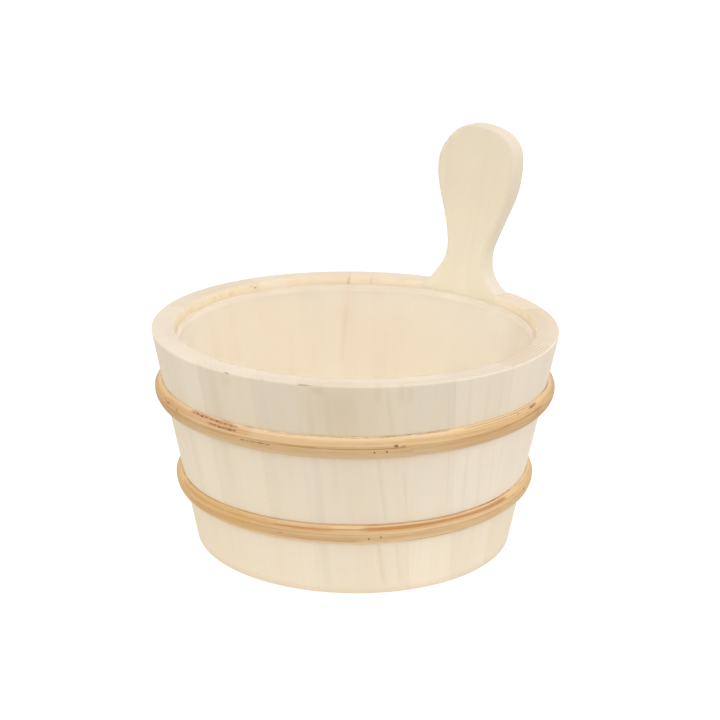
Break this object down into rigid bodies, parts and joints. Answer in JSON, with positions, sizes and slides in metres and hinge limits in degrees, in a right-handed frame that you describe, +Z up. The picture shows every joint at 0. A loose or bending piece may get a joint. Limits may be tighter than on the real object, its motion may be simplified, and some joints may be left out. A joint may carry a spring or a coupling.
{
  "type": "piggin",
  "caption": "Round tapered wooden pail of upright staves bound by bent-wood hoops, one stave raised into a flat rounded grip, with a lift-out frosted liner.",
  "frame": {"origin": "on the pail's axis, in the plane it stands on", "axes": "+Z up along the pail's axis, +Y towards the long stave that carries the grip, +X to the right of it seen from inside the pail"},
  "size_m": [0.2696, 0.2908, 0.2608],
  "materials": {
    "stave_wood": "bare, planed, pale softwood",
    "board_wood": "bare, planed",
    "hoop_wood": "split and bent strip, satin",
    "brad_steel": "darkened",
    "liner_plastic": "frosted, translucent"
  },
  "bodies": {
    "pail": {"handle_stave": "stave_wood", "stave_01": "stave_wood", "stave_02": "stave_wood", "stave_03": "stave_wood", "stave_04": "stave_wood", "stave_05": "stave_wood", "stave_06": "stave_wood", "stave_07": "stave_wood", "stave_08": "stave_wood", "stave_09": "stave_wood", "stave_10": "stave_wood", "stave_11": "stave_wood", "stave_12": "stave_wood", "stave_13": "stave_wood", "stave_14": "stave_wood", "stave_15": "stave_wood", "stave_16": "stave_wood", "stave_17": "stave_wood", "stave_18": "stave_wood", "bottom_board_left": "board_wood", "bottom_board_middle": "board_wood", "bottom_board_right": "board_wood", "hoop_upper": "hoop_wood", "hoop_lower": "hoop_wood", "hoop_brads": "brad_steel"},
    "liner": {"liner": "liner_plastic"}
  },
  "joints": [
    {"name": "liner_lift", "type": "slide", "parent": "pail", "child": "liner", "axis": [0, 0, 1], "range_m": [0, 0.25]}
  ]
}
